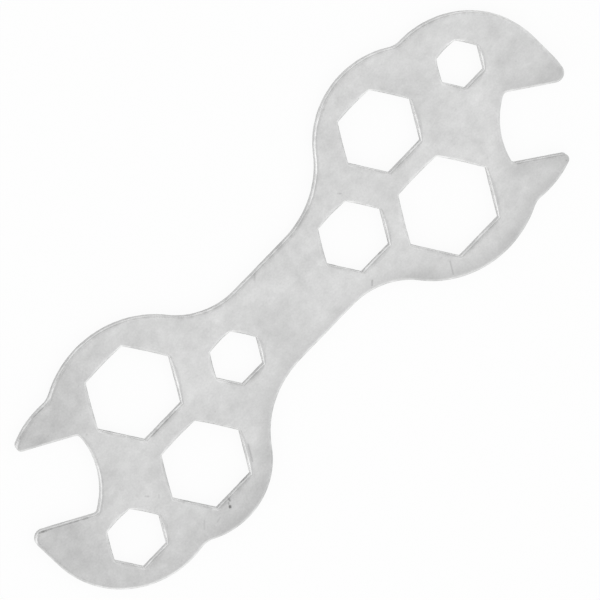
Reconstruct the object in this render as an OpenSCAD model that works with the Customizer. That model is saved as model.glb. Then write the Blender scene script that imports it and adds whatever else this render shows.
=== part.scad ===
/* [Sheet] */
// Thickness of the steel sheet
sheet_t = 2; // [1:0.1:4]
// Length over both ends
length = 130; // [120:0.5:200]
// Width of the handle between the two heads
handle_w = 18.1; // [14:0.1:24]
// Radius where the handle widens into a lobe on a closed side
closed_neck_r = 18.5; // [12:0.5:24]
// Radius where the handle widens into a lobe on the side of a jaw
jaw_neck_r = 14.5; // [10:0.5:24]
// Radius of the rounded end of each head
end_r = 17.8; // [16:0.1:19.5]
// Radius of the notch between a lobe and the end of its head
notch_r = 4; // [1:0.5:8]

/* [Sockets and jaws] */
// Room that a socket leaves over the size of its nut
socket_play = 0.2; // [0.1:0.05:0.5]
// Room that a jaw leaves over the size of its nut
jaw_play = 0.6; // [0.2:0.05:0.8]
// Steel between the two large sockets of a head
bridge_w = 4; // [2.5:0.1:6]
// Steel between a large socket and the edge of its lobe
rim_w = 5.5; // [4:0.1:8]
// Radius of the curved floor of a jaw
jaw_floor_r = 15.7; // [13:0.1:20]
// Radius of the corners at the floor of a jaw
jaw_corner_r = 1; // [0.4:0.1:2]
// Radius of the tip of the prong at the end of a head
end_tip_r = 1.8; // [0.5:0.1:2.4]
// Radius of the tip of the prong beside a lobe
lobe_tip_r = 1; // [0.5:0.1:2]

/* [Head with the narrow jaw] */
// Nut of the large socket on the closed side
a_closed_nut = 14; // [11:0.5:16]
// Nut of the large socket on the side of the jaw
a_jaw_side_nut = 17; // [13:0.5:18]
// Nut of the socket towards the handle
a_handle_nut = 12; // [8:0.5:13]
// Nut of the socket beside the jaw
a_end_nut = 8; // [6:0.5:10]
// Nut of the jaw
a_jaw_nut = 13; // [10:0.5:15]
// From the end of the head to the large socket on the closed side
a_closed_x = 32.2; // [30:0.1:34]
// From the end of the head to the large socket on the side of the jaw
a_jaw_side_x = 33.1; // [32:0.1:35]
// Steel between the socket towards the handle and the large one on the side of the jaw
a_handle_web = 3.8; // [2:0.1:8]
// From the end of the head to the socket beside the jaw
a_end_x = 13.1; // [11:0.1:14.5]
// From the long axis to the socket beside the jaw
a_end_y = 8.4; // [7:0.1:10]
// From the end of the head to the floor of the jaw
a_floor_x = 16.4; // [14:0.1:17.5]
// From the long axis to the floor of the jaw
a_floor_y = 6; // [5:0.1:8]
// Turn of the jaw away from the long axis, in degrees
a_jaw_turn = 36.5; // [30:0.5:42]
// How much nearer to the end than its socket each lobe is centred
a_lobe_shift = 2.4; // [0:0.1:4]
// Radius of the lobe on the closed side
a_closed_lobe_r = 17.2; // [15:0.1:20]
// Radius of the lobe on the side of the jaw
a_jaw_lobe_r = 19.4; // [17:0.1:21]
// Step down from the lobe to the end of the head on the closed side
a_closed_step = 3.7; // [1.5:0.1:5]
// Step down from the lobe to the end of the head on the side of the jaw
a_jaw_step = 2.3; // [1.5:0.1:4]

/* [Head with the wide jaw] */
// Nut of the large socket on the closed side
b_closed_nut = 15; // [11:0.5:17]
// Nut of the large socket on the side of the jaw
b_jaw_side_nut = 16; // [13:0.5:18]
// Nut of the socket towards the handle
b_handle_nut = 9; // [6:0.5:13]
// Nut of the socket beside the jaw
b_end_nut = 10; // [6:0.5:11]
// Nut of the jaw
b_jaw_nut = 15; // [10:0.5:16]
// From the end of the head to the large socket on the closed side
b_closed_x = 32; // [31:0.1:34]
// From the end of the head to the large socket on the side of the jaw
b_jaw_side_x = 32.3; // [31:0.1:35]
// Steel between the socket towards the handle and the large one on the side of the jaw
b_handle_web = 7.4; // [2:0.1:11]
// From the end of the head to the socket beside the jaw
b_end_x = 13.5; // [11:0.1:15]
// From the long axis to the socket beside the jaw
b_end_y = 10.4; // [8:0.1:11.5]
// From the end of the head to the floor of the jaw
b_floor_x = 17.5; // [15:0.1:18]
// From the long axis to the floor of the jaw
b_floor_y = 4; // [3:0.1:6]
// Turn of the jaw away from the long axis, in degrees
b_jaw_turn = 31; // [26:0.5:40]
// How much nearer to the end than its socket each lobe is centred
b_lobe_shift = 1.5; // [0:0.1:4]
// Radius of the lobe on the closed side
b_closed_lobe_r = 14.9; // [14:0.1:20]
// Radius of the lobe on the side of the jaw
b_jaw_lobe_r = 19.8; // [17:0.1:21.5]
// Step down from the lobe to the end of the head on the closed side
b_closed_step = 2.3; // [1.5:0.1:5]
// Step down from the lobe to the end of the head on the side of the jaw
b_jaw_step = 2.8; // [1.5:0.1:4]

/* [Hidden] */
$fn = 360;

// A head is drawn pointing along +X with its closed side up, and head B is then turned half round.
HEAD_A = 0;
HEAD_B = 1;
HEADS = [HEAD_A, HEAD_B];
CLOSED = 0;
JAW = 1;
SIDES = [CLOSED, JAW];

// Each rounding circle is drawn this much larger, so that it crosses the edges that it runs into.
seam = 0.005;
// Side of the rhombus that trims a corner, in radii of its rounding.
corner_reach = 3;
// How far a cut runs past each face of the sheet.
overcut = 1;

half_l = length / 2;
neck_r = [closed_neck_r, jaw_neck_r];
lobe_nut = [[a_closed_nut, a_jaw_side_nut], [b_closed_nut, b_jaw_side_nut]];
lobe_inset = [[a_closed_x, a_jaw_side_x], [b_closed_x, b_jaw_side_x]];
lobe_shift = [a_lobe_shift, b_lobe_shift];
lobe_r = [[a_closed_lobe_r, a_jaw_lobe_r], [b_closed_lobe_r, b_jaw_lobe_r]];
end_step = [[a_closed_step, a_jaw_step], [b_closed_step, b_jaw_step]];
handle_nut = [a_handle_nut, b_handle_nut];
handle_web = [a_handle_web, b_handle_web];
end_nut = [a_end_nut, b_end_nut];
end_socket = [[half_l - a_end_x, a_end_y], [half_l - b_end_x, b_end_y]];
jaw_w = [a_jaw_nut + jaw_play, b_jaw_nut + jaw_play];
jaw_floor = [[half_l - a_floor_x, -a_floor_y], [half_l - b_floor_x, -b_floor_y]];
jaw_turn = [a_jaw_turn, b_jaw_turn];

function unit(v) = v / norm(v);

// From the long axis to the edge of a head's lobes.
function half_w(head) =
    rim_w + socket_play + (lobe_nut[head][CLOSED] + bridge_w + lobe_nut[head][JAW]) / 2;

// Centres on one side of a head, with that side up.
function lobe_socket(head, side) =
    [half_l - lobe_inset[head][side], half_w(head) - rim_w - (lobe_nut[head][side] + socket_play) / 2];
function lobe_c(head, side) =
    [lobe_socket(head, side).x + lobe_shift[head], half_w(head) - lobe_r[head][side]];
function end_c(head, side) = [half_l - end_r, half_w(head) - end_step[head][side] - end_r];

// Centre of the socket towards the handle: its flat faces one of the large socket across the web.
function handle_socket(head) =
    let (
        large = lobe_socket(head, JAW),
        apart = handle_web[head] + socket_play + (handle_nut[head] + lobe_nut[head][JAW]) / 2
    )
    [large.x + (large.y * sin(30) - apart) / cos(30), 0];

// Centre of the blend from the edge of the handle into a lobe: it touches both.
function neck_c(head, side) =
    let (
        lobe = lobe_c(head, side),
        y = handle_w / 2 + neck_r[side],
        reach = lobe_r[head][side] + neck_r[side]
    )
    [lobe.x - sqrt(reach ^ 2 - (y - lobe.y) ^ 2), y];

// Centre of the blend between a lobe and the end of the head: it touches both from outside.
function notch_c(head, side) =
    let (
        lobe = lobe_c(head, side),
        to_end = end_c(head, side) - lobe,
        along = unit(to_end),
        lobe_reach = lobe_r[head][side] + notch_r,
        end_reach = end_r + notch_r,
        x = (norm(to_end) ^ 2 + lobe_reach ^ 2 - end_reach ^ 2) / (2 * norm(to_end))
    )
    lobe + x * along + sqrt(lobe_reach ^ 2 - x ^ 2) * [-along.y, along.x];

// A point of a head, in the frame of its jaw: origin at the floor, +X out of the mouth.
function in_jaw(head, point) =
    let (d = point - jaw_floor[head], c = cos(jaw_turn[head]), s = sin(jaw_turn[head]))
    [c * d.x - s * d.y, s * d.x + c * d.y];

module disc(centre, r) {
    translate(centre) circle(r);
}

module hexagon(nut) {
    circle(d = (nut + socket_play) / cos(30), $fn = 6);
}

// An outline as a piece of the sheet.
module sheet() {
    linear_extrude(sheet_t) children();
}

// An outline as a cut right through the sheet.
module through() {
    translate([0, 0, -overcut]) linear_extrude(sheet_t + 2 * overcut) children();
}

// One side of a head, with that side up.
module head_side(head, side) {
    lobe = lobe_c(head, side);
    neck = neck_c(head, side);
    notch = notch_c(head, side);
    end = end_c(head, side);
    difference() {
        union() {
            sheet() disc(lobe, lobe_r[head][side]);
            sheet() disc(end, end_r);
            sheet() polygon([[neck.x, 0], neck, lobe, [lobe.x, 0]]);
            sheet() polygon([lobe, notch, end]);
        }
        through() disc(neck, neck_r[side] + seam);
        through() disc(notch, notch_r + seam);
    }
}

// The flat stretch at the end of a head, between its two rounded sides.
module end_flat(head) {
    top = end_c(head, CLOSED).y;
    bottom = -end_c(head, JAW).y;
    sheet() translate([0, bottom]) square([half_l - seam, top - bottom]);
}

// What is trimmed off a corner between a wall along X and an arc, to round it about a centre.
module corner_trim(centre, wall_side, arc_c, r) {
    to_wall = corner_reach * r * [0, wall_side];
    to_arc = corner_reach * r * unit(centre - arc_c);
    difference() {
        polygon([centre, centre + to_wall, centre + to_wall + to_arc, centre + to_arc]);
        disc(centre, r + seam);
    }
}

// The space of a jaw, in its own frame.
module jaw_space(head) {
    floor_c = [jaw_floor_r, 0];
    wall_y = jaw_w[head] / 2;
    corner_y = wall_y - jaw_corner_r;
    corner_x = jaw_floor_r - sqrt((jaw_floor_r - jaw_corner_r) ^ 2 - corner_y ^ 2);
    difference() {
        intersection() {
            disc(floor_c, jaw_floor_r);
            translate([0, -wall_y]) square([2 * jaw_floor_r, 2 * wall_y]);
        }
        for (wall_side = [1, -1])
            corner_trim([corner_x, wall_side * corner_y], wall_side, floor_c, jaw_corner_r);
    }
}

// What is trimmed off the prong tip on one side of a jaw, in the frame of the jaw.
module tip_trim(head, prong_side, r) {
    end = end_c(head, JAW);
    arc_c = in_jaw(head, [end.x, -end.y]);
    tip_y = prong_side * (jaw_w[head] / 2 + r);
    tip_x = arc_c.x + sqrt((end_r - r) ^ 2 - (tip_y - arc_c.y) ^ 2);
    corner_trim([tip_x, tip_y], -prong_side, arc_c, r);
}

module head_plate(head) {
    difference() {
        union() {
            head_side(head, CLOSED);
            mirror([0, 1, 0]) head_side(head, JAW);
            end_flat(head);
        }
        translate(jaw_floor[head]) rotate(-jaw_turn[head]) {
            through() jaw_space(head);
            through() tip_trim(head, 1, end_tip_r);
            through() tip_trim(head, -1, lobe_tip_r);
        }
    }
}

module head_sockets(head) {
    through() translate(handle_socket(head)) hexagon(handle_nut[head]);
    through() translate(end_socket[head]) hexagon(end_nut[head]);
    for (side = SIDES)
        mirror([0, side, 0])
            through() translate(lobe_socket(head, side)) hexagon(lobe_nut[head][side]);
}

// The straight grip, which runs into the lobes of both heads.
module handle() {
    a_reach = lobe_c(HEAD_A, CLOSED).x;
    b_reach = lobe_c(HEAD_B, CLOSED).x;
    sheet() translate([-b_reach, -handle_w / 2]) square([a_reach + b_reach, handle_w]);
}

module spanner_plate() {
    color("silver") difference() {
        union() {
            handle();
            for (head = HEADS)
                rotate(180 * head) head_plate(head);
        }
        for (head = HEADS)
            rotate(180 * head) head_sockets(head);
    }
}

spanner_plate();
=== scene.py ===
import math

import bpy
import numpy as np
from mathutils import Matrix, Vector, geometry, kdtree, noise


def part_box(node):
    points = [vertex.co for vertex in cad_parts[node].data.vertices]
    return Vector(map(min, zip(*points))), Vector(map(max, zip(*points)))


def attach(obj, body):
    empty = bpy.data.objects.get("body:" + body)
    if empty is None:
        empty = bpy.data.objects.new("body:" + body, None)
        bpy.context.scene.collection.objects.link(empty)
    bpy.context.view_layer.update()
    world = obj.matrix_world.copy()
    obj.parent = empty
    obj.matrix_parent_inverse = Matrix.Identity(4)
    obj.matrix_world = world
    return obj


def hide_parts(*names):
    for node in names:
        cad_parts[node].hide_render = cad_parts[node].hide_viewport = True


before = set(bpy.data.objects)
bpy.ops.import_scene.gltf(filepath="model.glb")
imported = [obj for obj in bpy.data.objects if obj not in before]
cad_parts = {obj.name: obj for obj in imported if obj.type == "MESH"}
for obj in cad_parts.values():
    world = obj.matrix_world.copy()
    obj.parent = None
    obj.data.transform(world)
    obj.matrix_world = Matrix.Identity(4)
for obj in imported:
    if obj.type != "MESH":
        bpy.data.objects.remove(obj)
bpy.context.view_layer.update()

MM = 0.001
NODE = "spanner_plate"
sheet_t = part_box(NODE)[1].z / MM

# How the sheet is sampled, in mm. The corners of the holes get a small radius.
STEP = 0.3
CORNER_R = 0.22
CORNER_STEPS = 5
CORNER_TURN = math.radians(45)
STRAIGHT_TURN = 1e-4
# Digits to which the CAD points are merged, and tolerances of the front face and of its triangles, in mm.
MERGE_DIGITS = 4
FACE_TOL = 0.001
JOIN_TOL = 1e-6
# Grid of points on the faces, and how far it keeps from their edges, in mm.
GRID = 1.1
GRID_ROW = 0.866 * GRID
FRONT_CLEAR = 0.3
BACK_CLEAR = 0.7

# The punch rolls the front edge over, wider around the holes: width on the face and depth below it in mm.
# The section is a quarter of a superellipse. Beside a corner it is smaller than in the middle of a side.
ROLL_OUTLINE = (0.66, 0.36)
ROLL_HOLE = (0.80, 0.46)
ROLL_POWER = 1.67
ROLL_STEPS = 10
ROLL_CORNER = 0.4
ROLL_MIDDLE = 1.2
# Below the roll-over comes a burnished band: its depth in mm, and shares of it with a ring of points.
BURNISH_DEPTH = 0.95
BURNISH_LEAST = 0.08
BURNISH_MOST = 1.5
BURNISH_RINGS = (0.35, 0.7, 1.0)
# Below the band the metal is torn: inset in mm and share of the torn height.
TORN = [(0.035, 0.0), (0.06, 0.25), (0.05, 0.5), (0.055, 0.75), (0.03, 0.93)]
TORN_STEP = 0.05
TORN_LEAST = 0.004
# Then come the edge of the back, with its burr, and a ring on the back face.
BACK_INSET = 0.06
BACK_LEAST = 0.01
BACK_RING = 0.6

# Unevenness of the stamping: how much, over how many mm, and the seed of its noise.
FRONT_LONG = (0.010, 16.0, 1)
FRONT_SHORT = (0.005, 6.0, 2)
BACK_LONG = (0.006, 14.0, 3)
ROLL_CHANGE = (0.22, 5.0, 4)
BURNISH_LONG = (0.55, 3.0, 5)
BURNISH_SHORT = (0.40, 0.9, 6)
BURNISH_RELIEF = (0.004, 0.8, 7)
TORN_FINE = (0.022, 0.55, 8)
TORN_COARSE = (0.012, 1.7, 9)
BURR = (0.025, 1.3, 10)
SEED_GAP = 17.3
# How far the noise moves on from the top to the bottom of a band.
BURNISH_DRIFT = 5
TORN_DRIFT = 9
# Mean level of each face, inside the sheet, in mm.
FRONT_SINK = 0.012
BACK_RISE = 0.006

# Values at the vertices that tell the material which part of the cut edge it is on.
WALL_BURNISHED = 0.5
WALL_TORN = 1.0
WALL_BURR = 0.8
# Depth at which the roll-over starts to look burnished, and at which it fully does, in mm.
SHINE_START = 0.08
SHINE_FULL = 0.28

# Pits in the front face: place, radius and depth in mm.
PITS = [(-35.6, -19.0, 0.36, 0.10), (-44.7, -6.0, 0.35, 0.03),
        (-43.2, -7.6, 0.30, 0.03), (19.6, 8.0, 0.35, 0.03)]
# Rings of points around a pit: share of its radius and number of points. The grid keeps clear of them.
PIT_RINGS = [(0.35, 6), (0.7, 10), (1.0, 12), (1.35, 12)]
PIT_CLEAR = 1.5

# Dark marks and scratches on the front face: both ends of a stroke, its half width in mm, and its darkness.
STROKES = [((24.9, -16.6), (23.6, -18.8), 0.15, 0.22), ((12.4, -8.3), (11.75, -8.9), 0.18, 0.30),
           ((-34.70, -17.9), (-34.80, -18.2), 0.17, 0.50), ((-35.56, -18.95), (-35.64, -19.05), 0.27, 0.72),
           ((-35.30, -18.3), (-35.40, -18.5), 0.16, 0.34), ((-25.0, -13.1), (-26.7, -16.0), 0.16, 0.22),
           ((-63.2, 4.15), (-61.9, 3.4), 0.19, 0.62), ((-61.9, 3.4), (-55.0, -0.7), 0.13, 0.30),
           ((-48.9, 20.45), (-46.0, 20.25), 0.13, 0.40), ((-52.0, 20.1), (-52.9, 19.4), 0.20, 0.22),
           ((53.8, -18.5), (53.0, -19.5), 0.40, 0.10), ((64.2, -6.2), (63.8, -6.7), 0.40, 0.09),
           ((-1.7, 8.9), (-2.5, 8.2), 0.20, 0.19), ((-44.9, -5.75), (-44.5, -6.2), 0.18, 0.20),
           ((-43.0, -7.4), (-43.4, -7.8), 0.14, 0.15), ((19.4, 8.2), (19.8, 7.75), 0.16, 0.18),
           ((-40.7, -17.3), (-41.8, -18.4), 0.15, 0.15), ((-38.3, -19.1), (-39.2, -19.3), 0.16, 0.15),
           ((-36.2, 1.40), (-31.9, 1.40), 0.11, 0.26), ((-31.3, 1.45), (-29.8, 1.45), 0.15, 0.26)]
# Where a stroke starts to fade and where it ends, in half widths.
STROKE_FADE = (0.3, 1.6)
# Heights in mm over which the strokes set in, and how much the grain breaks them up.
STROKE_HEIGHT = (1.0, 1.8)
STROKE_GRAIN = (0.35, 0.62)
STROKE_BREAK = (0.45, 1.0)

# Colour of the plating, and how much lighter or darker its patterns make it.
ZINC_COLOUR = (0.660, 0.661, 0.659, 1)
NOISE_SPAN = (0.3, 0.7)
GRAIN_SPAN = (0.25, 0.75)
CLOUD_TONE = (-0.076, 0.066)
PATCH_TONE = (-0.058, 0.058)
GRAIN_TONE = (-0.065, 0.065)
ROLLING_TONE = (-0.010, 0.010)
HAIR_ONE = (0.70, 0.76)
HAIR_OTHER = (0.71, 0.77)
HAIR_TONE = 0.035
SPECK_SPAN = (0.70, 0.80)
SPECK_TONE = (0.0, 0.12)
# Which part of the endless cloud pattern lies on the plate.
CLOUD_SHIFT = (483, 147, 1078)

# Painted shade along one long side: reach from the outline, and where it sets in along Y and X, in mm.
RIM_REACH = (0.4, 3.6)
RIM_Y = (2.0, -17.0)
RIM_X = (-46.0, -28.0)
RIM_PATCH = (0.35, 0.65)
RIM_SHARE = (0.5, 1.0)
RIM_TONE = 0.19
# Painted shade over the outer part of one head: distance from its middle, and a slanting limit, in mm.
HEAD_MIDDLE = (-39.0, -3.0, 1.0)
HEAD_REACH = (12.0, 21.0)
HEAD_LIMIT = (-28.0, -36.0)
HEAD_SLANT = 0.22
HEAD_TONE = (0.0, 0.135)
# Painted shade on one prong of the other head, in mm.
PRONG_X = (47.0, 64.0)
PRONG_Y = (10.0, 0.0)
PRONG_TONE = (0.0, 0.06)
# The painted shade at the ends is weaker right at the edge, in mm and as a share.
END_EDGE = (0.0, 0.5)
END_SHARE = (0.3, 1.0)

# The darkening of the torn band and the painted dark line along the roll-over are stronger between these
# places along X than at the two ends, in mm.
CUT_RIGHT = (27.0, 20.0)
CUT_LEFT = (-48.0, -43.0)
CUT_SHARE = (0.4, 1.0)
# Painted shade: the torn band is made darker away from the outline, in the holes, whose walls mirror the
# floor in the shade of the plate: distance from the outline in mm, and share of the tear.
HOLE_SHADE_REACH = (0.2, 1.5)
HOLE_SHADE_SHARE = (0.5, 1.1)
TORN_SPAN = (0.55, 0.95)
# Darkening of the torn band: partly the torn steel's own darker tone, partly painted shade.
TEAR_TONE = (0.20, 0.0)
TEAR_BLOTCH = (0.48, 0.66)
TEAR_BLOTCH_TONE = (0.0, 0.22)
BURNISH_REACH = (0.1, 0.5)
# Streaks that lighten the burnished band: partly the brighter burnished metal, partly a painted highlight.
SCORE_SPAN = (0.34, 0.66)
SCORE_AND_SHEEN_TONE = (-0.05, 0.15)
# Painted shade: a broken dark line along the inner side of the roll-over, standing in for the dark that the
# roll-over mirrors: where it begins and ends from the edge, in mm.
SHADE_LINE_BEGIN = (0.05, 0.18)
SHADE_LINE_END = (0.30, 0.50)
SHADE_LINE_BLOTCH = (0.46, 0.62)
SHADE_LINE_GRAIN = (0.40, 0.60)
SHADE_LINE_BREAK = (0.3, 1.0)
SHADE_LINE_TONE = 0.10

# Roughness of the plating, and what the grain, the cut edge and the marks add to it.
CLOUD_ROUGH = (0.50, 0.42)
GRAIN_ROUGH = (-0.04, 0.04)
BURNISHED_ROUGH = -0.24
TORN_ROUGH = 0.10
MARK_ROUGH = 0.15
# Height of the fine relief, in mm.
GRAIN_HEIGHT = 0.0022
PATCH_HEIGHT = 0.006
HAIR_HEIGHT = -0.0018
TEAR_HEIGHT = 0.06
MARK_HEIGHT = -0.02

# White paper floor, in metres, and the share of it that shows as plain white.
FLOOR_HALF = 8.0
FLOOR_DROP = 0.00002
FLOOR_COLOUR = (0.9, 0.9, 0.9, 1)
FLOOR_WHITE = 0.90

# A light tent: white all round, weaker overhead, most of all over its -X side, brighter towards -Y, and
# open low down at +Y.
SKY_COLOUR = (1, 1, 1, 1)
SKY_TOP = 0.90
SKY_LOW = 0.97
SKY_HEIGHT = (0.45, 0.95)
SKY_SIDE = 0.30
SKY_BRIGHT = 0.10
SKY_OPEN = 0.28
# Soft boxes: azimuth from +X and elevation in degrees, distance and side in metres, and brightness.
LAMPS = {"overhead_box": (296, 70, 0.34, 0.36, 0.10),
         "side_box": (148, 18, 0.90, 0.80, 0.52),
         "front_box": (250, 20, 0.90, 0.80, 0.28)}

# Camera axes in the part's frame, and the middle of the picture from the middle of the front face, in mm.
VIEW_RIGHT = Vector((0.695, -0.679, 0.237))
VIEW_UP = Vector((0.719, 0.656, -0.229))
CENTRE_RIGHT = 1.02
CENTRE_UP = -0.10
# Width of the picture in pixels, its scale, width of the sensor in mm, and distance of the camera in metres.
IMAGE_W = 600
PIXELS_PER_MM = 5.468
SENSOR_W = 36
CAMERA_FAR = 1.5


def cad_loops(node):
    """Edges of the node's front face as loops in mm, with the metal on the left, the longest first."""
    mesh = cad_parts[node].data
    mesh.calc_loop_triangles()
    numbers = {}
    index = []
    for vertex in mesh.vertices:
        key = tuple(round(c / MM, MERGE_DIGITS) for c in vertex.co)
        index.append(numbers.setdefault(key, len(numbers)))
    points = list(numbers)
    top = max(p[2] for p in points)
    edges = set()
    for triangle in mesh.loop_triangles:
        ids = [index[i] for i in triangle.vertices]
        if any(points[i][2] < top - FACE_TOL for i in ids):
            continue
        a, b, c = (Vector(points[i][:2]) for i in ids)
        if (b - a).cross(c - a) < 0:
            ids.reverse()
        edges.update((ids[k], ids[(k + 1) % 3]) for k in range(3))
    onward = {a: b for a, b in edges if (b, a) not in edges}
    loops = []
    while onward:
        loop = []
        at = min(onward)
        while at in onward:
            loop.append(at)
            at = onward.pop(at)
        loops.append(np.array([points[i][:2] for i in loop]))
    return sorted(loops, key=len, reverse=True)


def corner_turns(points):
    """Signed turn at each point of a loop, in radians."""
    back = points - np.roll(points, 1, 0)
    ahead = np.roll(points, -1, 0) - points
    return np.arctan2(back[:, 0] * ahead[:, 1] - back[:, 1] * ahead[:, 0], (back * ahead).sum(1))


def unit_rows(vectors):
    return vectors / np.linalg.norm(vectors, axis=1)[:, None]


def sharp_loop(points):
    """Samples of a loop of straight sides with small round corners: places, directions and roll-over."""
    places, ways, rolls = [], [], []
    sides = unit_rows(np.roll(points, -1, 0) - points)
    turns = corner_turns(points)
    cuts = CORNER_R * np.tan(np.abs(turns) / 2)
    for i in range(len(points)):
        after = (i + 1) % len(points)
        way_in, way_out = sides[i - 1], sides[i]
        start = points[i] - cuts[i] * way_in
        centre = start + math.copysign(CORNER_R, turns[i]) * np.array([-way_in[1], way_in[0]])
        for k in range(CORNER_STEPS + 1):
            turn = turns[i] * k / CORNER_STEPS
            spin = np.array([[math.cos(turn), -math.sin(turn)], [math.sin(turn), math.cos(turn)]])
            places.append(centre + spin @ (start - centre))
            ways.append(spin @ way_in)
            rolls.append(ROLL_CORNER)
        run_start = places[-1]
        run = points[after] - cuts[after] * way_out - run_start
        steps = max(2, round(np.linalg.norm(run) / STEP))
        for k in range(1, steps):
            places.append(run_start + run * k / steps)
            ways.append(way_out)
            rolls.append(ROLL_CORNER + (ROLL_MIDDLE - ROLL_CORNER) * math.sin(math.pi * k / steps))
    return np.array(places), np.array(ways), rolls


def cubic(start, end, pull_start, pull_end, u):
    """Place and direction at the share u of a cubic curve between two points, with a pull at each."""
    place = (2 * u**3 - 3 * u**2 + 1) * start + (3 * u**2 - 2 * u**3) * end
    place += (u**3 - 2 * u**2 + u) * pull_start + (u**3 - u**2) * pull_end
    way = (6 * u**2 - 6 * u) * (start - end)
    way += (3 * u**2 - 4 * u + 1) * pull_start + (3 * u**2 - 2 * u) * pull_end
    return place, way / np.linalg.norm(way)


def smooth_loop(points):
    """Samples of a loop of arcs and straight runs that meet smoothly: places, directions and roll-over."""
    chords = np.roll(points, -1, 0) - points
    # The tangent at a point lies closer to the longer of its two chords.
    tangents = unit_rows(np.roll(chords, 1, 0) + chords)
    places, ways = [], []
    for i, chord in enumerate(chords):
        after = (i + 1) % len(points)
        length = np.linalg.norm(chord)
        pull_start, pull_end = length * tangents[i], length * tangents[after]
        steps = max(1, round(length / STEP))
        for k in range(steps):
            place, way = cubic(points[i], points[after], pull_start, pull_end, k / steps)
            places.append(place)
            ways.append(way)
    return np.array(places), np.array(ways), [1.0] * len(places)


def sample_loop(points):
    """Samples of one loop of the CAD face, which has either sharp corners alone or none."""
    points = points[np.abs(corner_turns(points)) > STRAIGHT_TURN]
    if np.all(np.abs(corner_turns(points)) > CORNER_TURN):
        return sharp_loop(points)
    return smooth_loop(points)


def wander(place, unevenness, drift=0.0):
    """Smooth noise over the sheet. The drift moves on to another slice of it."""
    amount, size, seed = unevenness
    return amount * noise.noise(Vector((place[0] / size, place[1] / size, SEED_GAP * seed + drift)))


def front_wave(place):
    """Height of the front face over its plane: a stamped sheet is never quite flat."""
    return wander(place, FRONT_LONG) + wander(place, FRONT_SHORT) - FRONT_SINK


def back_wave(place):
    """Height of the back face over the floor."""
    return BACK_RISE + wander(place, BACK_LONG)


def front_height(place):
    """Height of the front face with its pits."""
    pit = 0
    for x, y, radius, depth in PITS:
        far = math.hypot(place[0] - x, place[1] - y) / radius
        if far < 1:
            pit = max(pit, depth * (1 - far * far) ** 2)
    return sheet_t + front_wave(place) - pit


def inside(points, rings):
    """Whether each point is in the metal between the rings, by counting crossings."""
    hit = np.zeros(len(points), bool)
    for ring in rings:
        for (x0, y0), (x1, y1) in zip(ring, np.roll(ring, -1, 0)):
            if y0 == y1:
                continue
            spans = (y0 > points[:, 1]) != (y1 > points[:, 1])
            hit ^= spans & (points[:, 0] < x0 + (points[:, 1] - y0) * (x1 - x0) / (y1 - y0))
    return hit


def flat_tree(points):
    """Tree for the distance to the nearest of some points of the plane."""
    tree = kdtree.KDTree(len(points))
    for i, (x, y) in enumerate(points):
        tree.insert((x, y, 0), i)
    tree.balance()
    return tree


def nearest(tree, x, y):
    return tree.find((x, y, 0))[2]


class Sheet:
    """Vertices, faces and vertex values of the plate while it is put together."""

    def __init__(self, outline):
        self.verts, self.faces = [], []
        self.edge, self.wall, self.rim = [], [], []
        self.outline = flat_tree(outline)

    def add(self, x, y, z, edge, wall):
        self.verts.append((x * MM, y * MM, z * MM))
        self.edge.append(edge)
        self.wall.append(wall)
        self.rim.append(nearest(self.outline, x, y))
        return len(self.verts) - 1


def roll_section(width, depth):
    """Points of the rolled edge from the face to the wall: inset from the outline, depth below the face."""
    points = []
    for k in range(ROLL_STEPS + 1):
        a = math.pi / 2 * k / ROLL_STEPS
        inset = width * (1 - math.sin(a) ** (2 / ROLL_POWER))
        points.append((inset, depth * (1 - math.cos(a) ** (2 / ROLL_POWER))))
    return points


def edge_column(place, out, roll, section):
    """Points down the cut edge at one place: place, height, distance from the edge and wall value."""
    roll *= 1 + wander(place, ROLL_CHANGE)
    roll_width = section[0][0]
    rolled = section[-1][1] * roll
    burnish = BURNISH_DEPTH + wander(place, BURNISH_LONG) + wander(place, BURNISH_SHORT)
    burnish = min(max(burnish, rolled + BURNISH_LEAST), BURNISH_MOST)
    column = []
    for inset, depth in section:
        point = place - out * inset * roll
        height = sheet_t - depth * roll + inset / roll_width * front_wave(point)
        shine = min(max((depth - SHINE_START) / (SHINE_FULL - SHINE_START), 0), 1)
        column.append((point, height, inset * roll, WALL_BURNISHED * shine))
    for share in BURNISH_RINGS:
        point = place - out * wander(place, BURNISH_RELIEF, BURNISH_DRIFT * share)
        column.append((point, sheet_t - rolled - share * (burnish - rolled), 0.0, WALL_BURNISHED))
    torn_top = sheet_t - burnish - TORN_STEP
    for inset, share in TORN:
        drift = TORN_DRIFT * share
        rough = wander(place, TORN_FINE, drift) + wander(place, TORN_COARSE, drift)
        point = place - out * max(TORN_LEAST, inset + rough)
        column.append((point, torn_top * (1 - share), 0.0, WALL_TORN))
    point = place - out * max(BACK_LEAST, BACK_INSET + wander(place, BURR))
    column.append((point, 0.0, 0.0, WALL_BURR))
    point = place - out * BACK_RING
    column.append((point, back_wave(point), BACK_RING, 0.0))
    return column


def add_edge(sheet, loop, section):
    """The cut edge along one loop. Returns its rings of vertex numbers at the front and the back face."""
    columns = []
    for place, way, roll in zip(*loop):
        out = np.array([way[1], -way[0]])
        column = edge_column(place, out, roll, section)
        columns.append([sheet.add(x, y, z, edge, wall) for (x, y), z, edge, wall in column])
    for k in range(len(columns[0]) - 1):
        for here, after in zip(columns, columns[1:] + columns[:1]):
            sheet.faces.append((here[k + 1], after[k + 1], after[k], here[k]))
    return [column[0] for column in columns], [column[-1] for column in columns]


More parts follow.
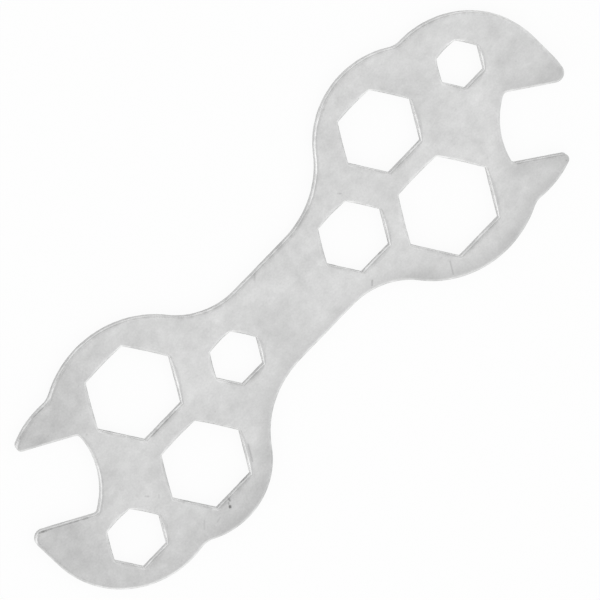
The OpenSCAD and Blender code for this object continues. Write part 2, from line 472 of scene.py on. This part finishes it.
def grid_points(low, high, pits):
    """Points of a triangular grid over a face, with rings of points in place of it around each pit."""
    points = []
    for row in range(int((high[1] - low[1]) / GRID_ROW) + 1):
        for column in range(int((high[0] - low[0]) / GRID) + 1):
            x = low[0] + GRID * (column + 0.5 * (row % 2))
            y = low[1] + GRID_ROW * row
            if all(math.hypot(x - pit[0], y - pit[1]) > PIT_CLEAR * pit[2] for pit in pits):
                points.append((x, y))
    for x, y, radius, _ in pits:
        points.append((x, y))
        for share, count in PIT_RINGS:
            for k in range(count):
                a = math.tau * (k + share) / count
                points.append((x + share * radius * math.cos(a), y + share * radius * math.sin(a)))
    return np.array(points)


def fill_face(sheet, rings, height, pits, clear, up):
    """Triangles between rings of vertex numbers, over a grid of points at the given height."""
    outlines = [np.array([sheet.verts[i][:2] for i in ring]) / MM for ring in rings]
    border = np.concatenate(outlines)
    tree = flat_tree(border)
    grid = grid_points(border.min(0), border.max(0), pits)
    ids = [i for ring in rings for i in ring]
    points = [Vector(p) for p in border]
    for x, y in grid[inside(grid, outlines)]:
        far = nearest(tree, x, y)
        if far > clear:
            points.append(Vector((x, y)))
            ids.append(sheet.add(x, y, height((x, y)), far + ROLL_OUTLINE[0], 0.0))
    edges = []
    for ring in rings:
        first, count = len(edges), len(ring)
        edges += [(first + k, first + (k + 1) % count) for k in range(count)]
    found, _, triangles, origin, _, _ = geometry.delaunay_2d_cdt(points, edges, [], 0, JOIN_TOL)
    middles = np.array([np.mean([found[i] for i in triangle], axis=0) for triangle in triangles])
    for triangle, kept in zip(triangles, inside(middles, outlines)):
        if kept:
            face = [ids[origin[i][0]] for i in triangle]
            sheet.faces.append(tuple(face if up else face[::-1]))


def build_plate():
    """The stamped sheet as one closed mesh, with the values that its material needs at each vertex."""
    loops = [sample_loop(points) for points in cad_loops(NODE)]
    sheet = Sheet(loops[0][0])
    sections = [roll_section(*ROLL_OUTLINE)] + [roll_section(*ROLL_HOLE)] * (len(loops) - 1)
    edges = [add_edge(sheet, loop, section) for loop, section in zip(loops, sections)]
    front_rings, back_rings = zip(*edges)
    fill_face(sheet, front_rings, front_height, PITS, FRONT_CLEAR, True)
    fill_face(sheet, back_rings, back_wave, [], BACK_CLEAR, False)
    mesh = bpy.data.meshes.new("plate")
    mesh.from_pydata(sheet.verts, [], sheet.faces)
    mesh.validate()
    for name, values in (("edge_mm", sheet.edge), ("wall", sheet.wall), ("rim_mm", sheet.rim)):
        layer = mesh.attributes.new(name, "FLOAT", "POINT")
        layer.data.foreach_set("value", values)
    mesh.shade_smooth()
    mesh.update()
    plate = bpy.data.objects.new("plate", mesh)
    bpy.context.scene.collection.objects.link(plate)
    return plate


class Nodes:
    """Short calls for the nodes of one material or world."""

    def __init__(self, tree):
        self.tree = tree
        tree.nodes.clear()

    def add(self, kind, **settings):
        node = self.tree.nodes.new(kind)
        for name, value in settings.items():
            setattr(node, name, value)
        return node

    def put(self, value, socket):
        """Links a socket's value to another socket, or sets a constant there."""
        if isinstance(value, bpy.types.NodeSocket):
            self.tree.links.new(value, socket)
        else:
            socket.default_value = value

    def math(self, operation, a, b=0.0, clamp=False):
        node = self.add("ShaderNodeMath", operation=operation, use_clamp=clamp)
        self.put(a, node.inputs[0])
        self.put(b, node.inputs[1])
        return node.outputs[0]

    def total(self, first, *others):
        for value in others:
            first = self.math("ADD", first, value)
        return first

    def product(self, first, *others):
        for value in others:
            first = self.math("MULTIPLY", first, value)
        return first

    def minus(self, a, b):
        return self.math("SUBTRACT", a, b)

    def ramp(self, value, span, to=(0.0, 1.0), kind="SMOOTHSTEP"):
        """The value carried from one span to another, and held beyond its ends."""
        node = self.add("ShaderNodeMapRange", interpolation_type=kind)
        for number, socket in zip((value, *span, *to), node.inputs):
            self.put(number, socket)
        return node.outputs[0]

    def slope(self, value, span, to):
        return self.ramp(value, span, to, "LINEAR")

    def split(self, vector):
        node = self.add("ShaderNodeSeparateXYZ")
        self.put(vector, node.inputs[0])
        return node.outputs

    def attribute(self, name):
        return self.add("ShaderNodeAttribute", attribute_name=name).outputs["Fac"]

    def mapped(self, vector, scale=(1, 1, 1), turn=0.0, shift=(0, 0, 0)):
        node = self.add("ShaderNodeMapping")
        self.put(vector, node.inputs["Vector"])
        self.put(shift, node.inputs["Location"])
        self.put((0, 0, math.radians(turn)), node.inputs["Rotation"])
        self.put(scale, node.inputs["Scale"])
        return node.outputs[0]

    def noise(self, vector, scale=1.0, detail=2, rough=0.5, distortion=0.0):
        node = self.add("ShaderNodeTexNoise")
        self.put(vector, node.inputs["Vector"])
        self.put(scale, node.inputs["Scale"])
        self.put(detail, node.inputs["Detail"])
        self.put(rough, node.inputs["Roughness"])
        self.put(distortion, node.inputs["Distortion"])
        return node.outputs["Fac"]


class Zinc:
    """Sockets that the functions of the zinc material share: places in mm, vertex values and noises."""

    def __init__(self, nodes):
        where = nodes.add("ShaderNodeTexCoord").outputs["Object"]
        self.place = nodes.mapped(where, scale=(1 / MM, 1 / MM, 1 / MM))
        self.x, self.y, self.z = nodes.split(self.place)
        self.edge = nodes.attribute("edge_mm")
        self.rim = nodes.attribute("rim_mm")
        self.torn = nodes.ramp(nodes.attribute("wall"), TORN_SPAN)
        self.burnished = nodes.minus(nodes.ramp(self.edge, BURNISH_REACH, (1.0, 0.0)), self.torn)
        shifted = nodes.mapped(self.place, shift=CLOUD_SHIFT)
        self.cloud = nodes.noise(shifted, scale=0.11, detail=4, rough=0.6, distortion=0.4)
        self.patch = nodes.noise(self.place, scale=0.42, detail=4, rough=0.62)
        self.blotch = nodes.noise(self.place, scale=0.34)
        self.speck = nodes.noise(self.place, scale=1.1)
        self.grain = nodes.noise(self.place, scale=2.6, detail=3, rough=0.6)
        self.tear = nodes.noise(nodes.mapped(self.place, scale=(3.2, 3.2, 0.7)), detail=4, rough=0.65)
        self.score_and_sheen = nodes.noise(nodes.mapped(self.place, scale=(0.6, 0.6, 0.25)), detail=3, rough=0.6)
        self.rolling = nodes.noise(nodes.mapped(self.place, scale=(0.05, 1.6, 1), turn=-8), detail=3)
        self.hair = self.scratches(nodes)

    def scratches(self, nodes):
        """Hair scratches in two directions."""
        one = nodes.noise(nodes.mapped(self.place, scale=(0.07, 9.0, 1), turn=33))
        other = nodes.noise(nodes.mapped(self.place, scale=(0.10, 11.0, 1), turn=-58, shift=(31, 7, 0)))
        return nodes.math("MAXIMUM", nodes.ramp(one, HAIR_ONE), nodes.ramp(other, HAIR_OTHER))


def face_tone(nodes, zinc):
    """Mottled tone of the faces, with 1 as the plain colour."""
    cloud = nodes.slope(zinc.cloud, NOISE_SPAN, CLOUD_TONE)
    patch = nodes.slope(zinc.patch, NOISE_SPAN, PATCH_TONE)
    grain = nodes.slope(zinc.grain, GRAIN_SPAN, GRAIN_TONE)
    rolling = nodes.slope(zinc.rolling, NOISE_SPAN, ROLLING_TONE)
    hair = nodes.product(zinc.hair, HAIR_TONE)
    tone = nodes.total(1.0, cloud, patch, grain, rolling, hair)
    return nodes.minus(tone, nodes.ramp(zinc.speck, SPECK_SPAN, SPECK_TONE))


def painted_shade_tone(nodes, zinc):
    """Painted shade: how much darker the plating is made along one long side, over one head and on a prong
    of the other.
    """
    rim = nodes.product(nodes.ramp(zinc.rim, RIM_REACH, (1.0, 0.0)),
                        nodes.ramp(zinc.y, RIM_Y),
                        nodes.ramp(zinc.x, RIM_X),
                        nodes.ramp(zinc.patch, RIM_PATCH, RIM_SHARE),
                        RIM_TONE)
    outward = nodes.add("ShaderNodeVectorMath", operation="DISTANCE")
    nodes.put(zinc.place, outward.inputs[0])
    nodes.put(HEAD_MIDDLE, outward.inputs[1])
    slant = nodes.total(zinc.x, nodes.product(zinc.y, HEAD_SLANT))
    head = nodes.product(nodes.ramp(outward.outputs["Value"], HEAD_REACH, HEAD_TONE),
                         nodes.ramp(slant, HEAD_LIMIT))
    prong = nodes.product(nodes.ramp(zinc.x, PRONG_X, PRONG_TONE), nodes.ramp(zinc.y, PRONG_Y))
    ends = nodes.product(nodes.total(head, prong), nodes.ramp(zinc.edge, END_EDGE, END_SHARE))
    return nodes.total(rim, ends)


def stroke_mask(nodes, zinc, first, last, half_width, strength):
    """Strength near the stretch between two points of the face, fading out at its edge."""
    way_x, way_y = last[0] - first[0], last[1] - first[1]
    square = way_x**2 + way_y**2
    x = nodes.minus(zinc.x, first[0])
    y = nodes.minus(zinc.y, first[1])
    along_x, along_y = nodes.product(x, way_x / square), nodes.product(y, way_y / square)
    along = nodes.math("ADD", along_x, along_y, clamp=True)
    off_x = nodes.minus(x, nodes.product(along, way_x))
    off_y = nodes.minus(y, nodes.product(along, way_y))
    far = nodes.math("SQRT", nodes.total(nodes.product(off_x, off_x), nodes.product(off_y, off_y)))
    return nodes.ramp(far, [half_width * share for share in STROKE_FADE], (strength, 0.0))


def mark_tone(nodes, zinc):
    """How dark the marks and scratches are, on the front face alone."""
    marks = 0.0
    for stroke in STROKES:
        marks = nodes.math("MAXIMUM", marks, stroke_mask(nodes, zinc, *stroke))
    front = nodes.ramp(zinc.z, STROKE_HEIGHT)
    return nodes.product(marks, front, nodes.ramp(zinc.grain, STROKE_GRAIN, STROKE_BREAK))


def edge_tone(nodes, zinc, tone):
    """The tone with the torn band darker, partly its own tone and partly painted shade, the burnished band
    lighter, partly its own shine and partly a painted highlight, and a painted dark line of shade along the
    roll-over.
    """
    middle_strength = nodes.product(nodes.ramp(zinc.x, CUT_RIGHT, CUT_SHARE), nodes.ramp(zinc.x, CUT_LEFT, CUT_SHARE))
    # Darkening of the torn band, partly its own tone, partly painted shade made stronger in the holes and
    # between two places along X.
    tear = nodes.total(nodes.ramp(zinc.tear, NOISE_SPAN, TEAR_TONE),
                       nodes.ramp(zinc.blotch, TEAR_BLOTCH, TEAR_BLOTCH_TONE))
    tear = nodes.product(tear, middle_strength, nodes.ramp(zinc.rim, HOLE_SHADE_REACH, HOLE_SHADE_SHARE), zinc.torn)
    tone = nodes.product(tone, nodes.minus(1.0, tear))
    # The burnished band is lighter in streaks, partly its own shine, partly a painted highlight.
    score_and_sheen = nodes.product(zinc.burnished, nodes.ramp(zinc.score_and_sheen, SCORE_SPAN, SCORE_AND_SHEEN_TONE))
    # Painted shade: a broken dark line along the roll-over.
    painted_shade_line = nodes.product(nodes.ramp(zinc.edge, SHADE_LINE_BEGIN),
                         nodes.ramp(zinc.edge, SHADE_LINE_END, (1.0, 0.0)),
                         nodes.ramp(zinc.blotch, SHADE_LINE_BLOTCH),
                         nodes.ramp(zinc.grain, SHADE_LINE_GRAIN, SHADE_LINE_BREAK),
                         middle_strength,
                         SHADE_LINE_TONE)
    return nodes.minus(nodes.total(tone, score_and_sheen), painted_shade_line)


def tinted(nodes, tone):
    """The zinc colour made lighter or darker by the tone."""
    grey = nodes.add("ShaderNodeCombineColor")
    for channel in ("Red", "Green", "Blue"):
        nodes.put(tone, grey.inputs[channel])
    tint = nodes.add("ShaderNodeMix", data_type="RGBA", blend_type="MULTIPLY")
    nodes.put(1.0, tint.inputs["Factor"])
    nodes.put(ZINC_COLOUR, tint.inputs["A"])
    nodes.put(grey.outputs[0], tint.inputs["B"])
    return tint.outputs["Result"]


def roughness(nodes, zinc, marks):
    """Smoother where the cut edge is burnished, rougher where it is torn and in the marks."""
    return nodes.total(nodes.slope(zinc.cloud, NOISE_SPAN, CLOUD_ROUGH),
                       nodes.slope(zinc.grain, NOISE_SPAN, GRAIN_ROUGH),
                       nodes.product(zinc.burnished, BURNISHED_ROUGH),
                       nodes.product(zinc.torn, TORN_ROUGH),
                       nodes.product(marks, MARK_ROUGH))


def relief(nodes, zinc, marks):
    """Fine relief of the plating, too small for the mesh."""
    height = nodes.total(nodes.product(zinc.grain, GRAIN_HEIGHT),
                         nodes.product(zinc.patch, PATCH_HEIGHT),
                         nodes.product(zinc.hair, HAIR_HEIGHT),
                         nodes.product(zinc.tear, zinc.torn, TEAR_HEIGHT),
                         nodes.product(marks, MARK_HEIGHT))
    bump = nodes.add("ShaderNodeBump")
    nodes.put(1.0, bump.inputs["Strength"])
    nodes.put(MM, bump.inputs["Distance"])
    nodes.put(height, bump.inputs["Height"])
    return bump.outputs[0]


def zinc_material():
    """Satin zinc plating: soft mottling, fine grain, faint scratches, and a burnished and torn cut edge,
    with painted shade towards the ends, in the holes and along the roll-over, and a painted highlight on the
    burnished band.
    """
    material = bpy.data.materials.new("zinc_plated_steel")
    material.use_nodes = True
    nodes = Nodes(material.node_tree)
    zinc = Zinc(nodes)
    marks = mark_tone(nodes, zinc)
    # The painted shade towards the ends and along one long side is taken off the tone.
    tone = nodes.minus(face_tone(nodes, zinc), painted_shade_tone(nodes, zinc))
    tone = nodes.product(tone, nodes.minus(1.0, marks))
    tone = edge_tone(nodes, zinc, tone)
    shader = nodes.add("ShaderNodeBsdfPrincipled")
    nodes.put(1.0, shader.inputs["Metallic"])
    nodes.put(tinted(nodes, tone), shader.inputs["Base Color"])
    nodes.put(roughness(nodes, zinc, marks), shader.inputs["Roughness"])
    nodes.put(relief(nodes, zinc, marks), shader.inputs["Normal"])
    nodes.put(shader.outputs[0], nodes.add("ShaderNodeOutputMaterial").inputs["Surface"])
    return material


def floor_material():
    """White paper that shows as white, and still takes a faint shadow."""
    material = bpy.data.materials.new("white_floor")
    material.use_nodes = True
    nodes = Nodes(material.node_tree)
    ray = nodes.add("ShaderNodeLightPath").outputs
    seen = nodes.math("MAXIMUM", ray["Is Camera Ray"], ray["Is Glossy Ray"])
    seen = nodes.math("MAXIMUM", seen, ray["Is Transmission Ray"])
    paper = nodes.add("ShaderNodeBsdfDiffuse")
    nodes.put(FLOOR_COLOUR, paper.inputs["Color"])
    white = nodes.add("ShaderNodeEmission")
    nodes.put(1.0, white.inputs["Strength"])
    mix = nodes.add("ShaderNodeMixShader")
    nodes.put(nodes.product(seen, FLOOR_WHITE), mix.inputs[0])
    nodes.put(paper.outputs[0], mix.inputs[1])
    nodes.put(white.outputs[0], mix.inputs[2])
    nodes.put(mix.outputs[0], nodes.add("ShaderNodeOutputMaterial").inputs["Surface"])
    return material


def build_floor():
    mesh = bpy.data.meshes.new("floor")
    half = FLOOR_HALF
    corners = [(-half, -half), (half, -half), (half, half), (-half, half)]
    mesh.from_pydata([(x, y, -FLOOR_DROP) for x, y in corners], [], [(0, 1, 2, 3)])
    floor = bpy.data.objects.new("floor", mesh)
    bpy.context.scene.collection.objects.link(floor)
    mesh.materials.append(floor_material())


def build_world():
    """The light tent, as the brightness of each direction of the sky."""
    world = bpy.data.worlds.new("studio")
    bpy.context.scene.world = world
    world.use_nodes = True
    nodes = Nodes(world.node_tree)
    x, y, z = nodes.split(nodes.add("ShaderNodeTexCoord").outputs["Generated"])
    high = nodes.ramp(z, SKY_HEIGHT)
    overhead = nodes.product(high, nodes.total(SKY_TOP - SKY_LOW, nodes.product(x, SKY_SIDE)))
    bright = nodes.math("MAXIMUM", nodes.product(y, -SKY_BRIGHT), 0.0)
    opening = nodes.product(nodes.math("MAXIMUM", y, 0.0), nodes.minus(1.0, high), SKY_OPEN)
    level = nodes.minus(nodes.total(SKY_LOW, overhead, bright), opening)
    sky = nodes.add("ShaderNodeBackground")
    nodes.put(SKY_COLOUR, sky.inputs["Color"])
    nodes.put(level, sky.inputs["Strength"])
    nodes.put(sky.outputs[0], nodes.add("ShaderNodeOutputWorld").inputs["Surface"])


def add_lamp(name, azimuth, elevation, distance, size, radiance):
    """A square soft box that faces the plate, with the brightness that it shows."""
    a, e = math.radians(azimuth), math.radians(elevation)
    way = Vector((math.cos(a) * math.cos(e), math.sin(a) * math.cos(e), math.sin(e)))
    lamp = bpy.data.lights.new(name, "AREA")
    lamp.shape = "SQUARE"
    lamp.size = size
    lamp.energy = radiance * math.pi * size * size
    holder = bpy.data.objects.new(name, lamp)
    holder.location = way * distance
    holder.rotation_mode = "QUATERNION"
    holder.rotation_quaternion = way.to_track_quat("Z", "Y")
    bpy.context.scene.collection.objects.link(holder)


def build_camera():
    """A far camera with a long lens, so that the picture has the photograph's scale."""
    right = VIEW_RIGHT.normalized()
    back = right.cross(VIEW_UP).normalized()
    up = back.cross(right)
    centre = Vector((0, 0, sheet_t * MM)) + (CENTRE_RIGHT * right + CENTRE_UP * up) * MM
    data = bpy.data.cameras.new("camera")
    data.sensor_width = SENSOR_W
    data.lens = SENSOR_W * CAMERA_FAR / (IMAGE_W / PIXELS_PER_MM * MM)
    camera = bpy.data.objects.new("camera", data)
    turn = Matrix((right, up, back)).transposed().to_4x4()
    camera.matrix_world = Matrix.Translation(centre + back * CAMERA_FAR) @ turn
    bpy.context.scene.collection.objects.link(camera)
    bpy.context.scene.camera = camera


plate = build_plate()
plate.data.materials.append(zinc_material())
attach(plate, "root")
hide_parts(NODE)

build_floor()
build_world()
for lamp_name, lamp_settings in LAMPS.items():
    add_lamp(lamp_name, *lamp_settings)
build_camera()
bpy.context.scene.view_settings.view_transform = "Standard"
